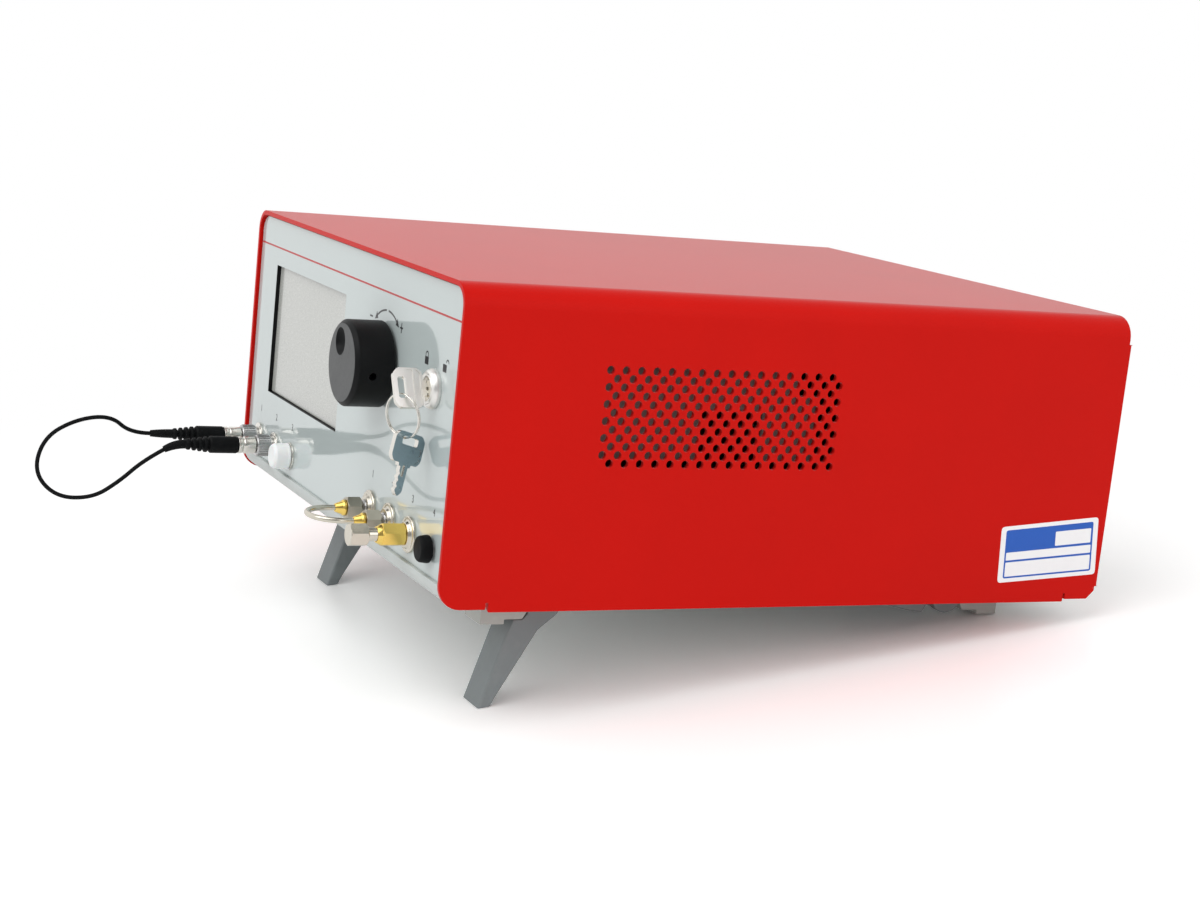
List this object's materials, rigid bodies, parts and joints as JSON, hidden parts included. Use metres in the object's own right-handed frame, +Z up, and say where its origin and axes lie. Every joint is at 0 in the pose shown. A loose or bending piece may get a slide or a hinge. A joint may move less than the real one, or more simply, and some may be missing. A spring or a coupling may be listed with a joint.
{
  "type": "bench optical transmitter",
  "caption": "Bench laser transmitter with a vented sheet-metal case on flip legs, a touch display, a push knob, a key switch, a looped fibre lead and a rigid radio jumper.",
  "frame": {"origin": "bottom centre of the box of the instrument without its fibre lead, on the floor it stands on", "axes": "+Z up, -Y out of the front panel, +X to the right seen from the front; the case leans back by 8 degrees on its front legs"},
  "size_m": [0.25, 0.41, 0.1685],
  "materials": {
    "cover_red": "fine textured powder coat",
    "tray_paint": "satin paint",
    "panel_paint": "gloss film over paint",
    "rear_paint": "satin paint",
    "screw_steel": "plated",
    "foot_grey": "moulded",
    "pad_rubber": "soft",
    "display_glass": "polished",
    "display_can": "pressed",
    "black_plastic": "moulded",
    "nickel": "nickel plate",
    "gold": "gold plate",
    "lead_black": "moulded",
    "cap_white": "soft moulded",
    "board_green": "lacquered",
    "module_metal": "milled"
  },
  "bodies": {
    "case": {"top_cover": "cover_red", "chassis_tray": "tray_paint", "vent_baffle": "tray_paint", "front_panel": "panel_paint", "rear_panel": "rear_paint", "cover_screws": "screw_steel", "leg_pins": "screw_steel", "jumper_nuts": "screw_steel", "encoder_nut": "screw_steel", "lock_nut": "screw_steel", "fibre_socket_nuts": "screw_steel", "fan_guard": "screw_steel", "front_left_foot": "foot_grey", "front_right_foot": "foot_grey", "rear_left_foot": "foot_grey", "rear_right_foot": "foot_grey", "foot_pads": "pad_rubber", "display_glass": "display_glass", "display_module": "display_can", "encoder_body": "black_plastic", "fan_frame": "black_plastic", "inlet_housing": "black_plastic", "interlock_jack": "black_plastic", "lock_body": "nickel", "fibre_sockets": "nickel", "lead_plugs": "nickel", "lead_nuts": "nickel", "rf_socket_nuts": "nickel", "terminator_body": "nickel", "usb_socket": "nickel", "jumper_tube": "nickel", "rf_sockets": "gold", "jumper_ferrules": "gold", "terminator_nut": "gold", "inlet_pins": "gold", "earth_socket": "gold", "lead_boots": "lead_black", "lead_fibre": "lead_black", "main_board": "board_green", "power_supply": "module_metal", "laser_module": "module_metal", "modulator": "module_metal", "amplifier": "module_metal"},
    "encoder_rotor": {"encoder_rotor": "black_plastic"},
    "knob": {"knob": "black_plastic", "knob_shaft": "screw_steel", "knob_set_screw": "screw_steel"},
    "lock_plug": {"lock_plug": "nickel"},
    "key": {"key": "nickel"},
    "key_ring": {"key_ring": "nickel"},
    "spare_key": {"spare_key": "nickel"},
    "front_left_leg": {"front_left_leg": "foot_grey"},
    "front_right_leg": {"front_right_leg": "foot_grey"},
    "rear_left_leg": {"rear_left_leg": "foot_grey"},
    "rear_right_leg": {"rear_right_leg": "foot_grey"},
    "power_rocker": {"power_rocker": "black_plastic"},
    "fuse_drawer": {"fuse_drawer": "black_plastic"},
    "fan_rotor": {"fan_rotor": "black_plastic"},
    "fibre_cap": {"fibre_cap": "cap_white"},
    "rf_cap": {"rf_cap": "lead_black"}
  },
  "joints": [
    {"name": "knob_turn", "type": "hinge", "parent": "case", "child": "encoder_rotor", "pos_m": [0.0451, -0.13057, 0.12637], "axis": [0, -0.9903, 0.1392], "continuous": true},
    {"name": "knob_press", "type": "slide", "parent": "encoder_rotor", "child": "knob", "axis": [0, 0.9903, -0.1392], "range_m": [0, 0.0005], "stiffness_N_per_m": 2000, "springref_m": -0.001},
    {"name": "key_turn", "type": "hinge", "parent": "case", "child": "lock_plug", "pos_m": [0.0993, -0.13057, 0.12637], "axis": [0, 0.9903, -0.1392], "range_deg": [0, 60]},
    {"name": "key_withdraw", "type": "slide", "parent": "lock_plug", "child": "key", "axis": [0, -0.9903, 0.1392], "range_m": [0, 0.012]},
    {"name": "ring_swing", "type": "hinge", "parent": "key", "child": "key_ring", "pos_m": [0.1004, -0.14341, 0.12625], "axis": [0, -0.9903, 0.1392], "range_deg": [0, 60]},
    {"name": "spare_swing", "type": "hinge", "parent": "key_ring", "child": "spare_key", "pos_m": [0.1004, -0.14341, 0.10985], "axis": [0.9063, 0.4226, 0], "range_deg": [-60, 5]},
    {"name": "front_left_leg_fold", "type": "hinge", "parent": "case", "child": "front_left_leg", "pos_m": [-0.0906, -0.08896, 0.03802], "axis": [1, 0, 0], "range_deg": [0, 120]},
    {"name": "front_right_leg_fold", "type": "hinge", "parent": "case", "child": "front_right_leg", "pos_m": [0.0906, -0.08896, 0.03802], "axis": [1, 0, 0], "range_deg": [0, 120]},
    {"name": "rear_left_leg_fold", "type": "hinge", "parent": "case", "child": "rear_left_leg", "pos_m": [-0.0906, 0.09552, 0.01209], "axis": [1, 0, 0], "range_deg": [0, 120]},
    {"name": "rear_right_leg_fold", "type": "hinge", "parent": "case", "child": "rear_right_leg", "pos_m": [0.0906, 0.09552, 0.01209], "axis": [1, 0, 0], "range_deg": [0, 120]},
    {"name": "power_rock", "type": "hinge", "parent": "case", "child": "power_rocker", "pos_m": [-0.08, 0.15622, 0.08687], "axis": [-1, 0, 0], "range_deg": [0, 20]},
    {"name": "fuse_drawer_slide", "type": "slide", "parent": "case", "child": "fuse_drawer", "axis": [0, 0.9903, -0.1392], "range_m": [0, 0.02]},
    {"name": "fan_spin", "type": "hinge", "parent": "case", "child": "fan_rotor", "pos_m": [0.06, 0.15745, 0.07408], "axis": [0, 0.9903, -0.1392], "continuous": true},
    {"name": "fibre_cap_pull", "type": "slide", "parent": "case", "child": "fibre_cap", "axis": [0, -0.9903, 0.1392], "range_m": [0, 0.012]},
    {"name": "rf_cap_pull", "type": "slide", "parent": "case", "child": "rf_cap", "axis": [0, -0.9903, 0.1392], "range_m": [0, 0.012]}
  ],
  "couplings": [
    {"joint": "ring_swing", "follows": "key_turn", "ratio": 1}
  ]
}
